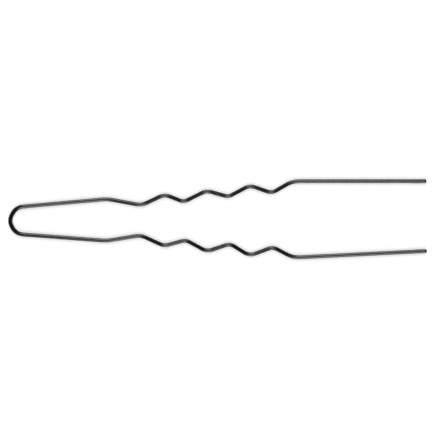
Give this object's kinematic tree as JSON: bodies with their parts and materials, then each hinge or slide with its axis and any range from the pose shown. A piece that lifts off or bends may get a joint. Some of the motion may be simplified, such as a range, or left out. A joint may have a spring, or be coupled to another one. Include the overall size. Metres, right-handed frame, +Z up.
{
  "type": "waved hairpin",
  "caption": "U-shaped hairpin of round black-lacquered spring wire with crimped legs that spring open and shut to hold a coil of hair.",
  "frame": {"origin": "middle of the pin's outline, seen from above, on the plane that its wire lies on", "axes": "+X along the pin from its bow to its tips, +Y towards the left leg as seen from the bow, +Z up from the surface that the pin lies on"},
  "size_m": [0.076, 0.0146, 0.0008],
  "materials": {
    "black_lacquer": "glossy black stoving lacquer over 0.70 mm spring steel wire"
  },
  "bodies": {
    "bow": {"bow": "black_lacquer"},
    "left_leg": {"left_leg": "black_lacquer"},
    "right_leg": {"right_leg": "black_lacquer"}
  },
  "joints": [
    {"name": "left_leg_flex", "type": "hinge", "parent": "bow", "child": "left_leg", "pos_m": [-0.02733, 0.00329, 0.00038], "axis": [0, 0, 1], "range_deg": [-5, 10], "stiffness_Nm_per_rad": 0.067},
    {"name": "right_leg_flex", "type": "hinge", "parent": "bow", "child": "right_leg", "pos_m": [-0.02733, -0.00313, 0.00038], "axis": [0, 0, -1], "range_deg": [-5, 10], "stiffness_Nm_per_rad": 0.067}
  ]
}
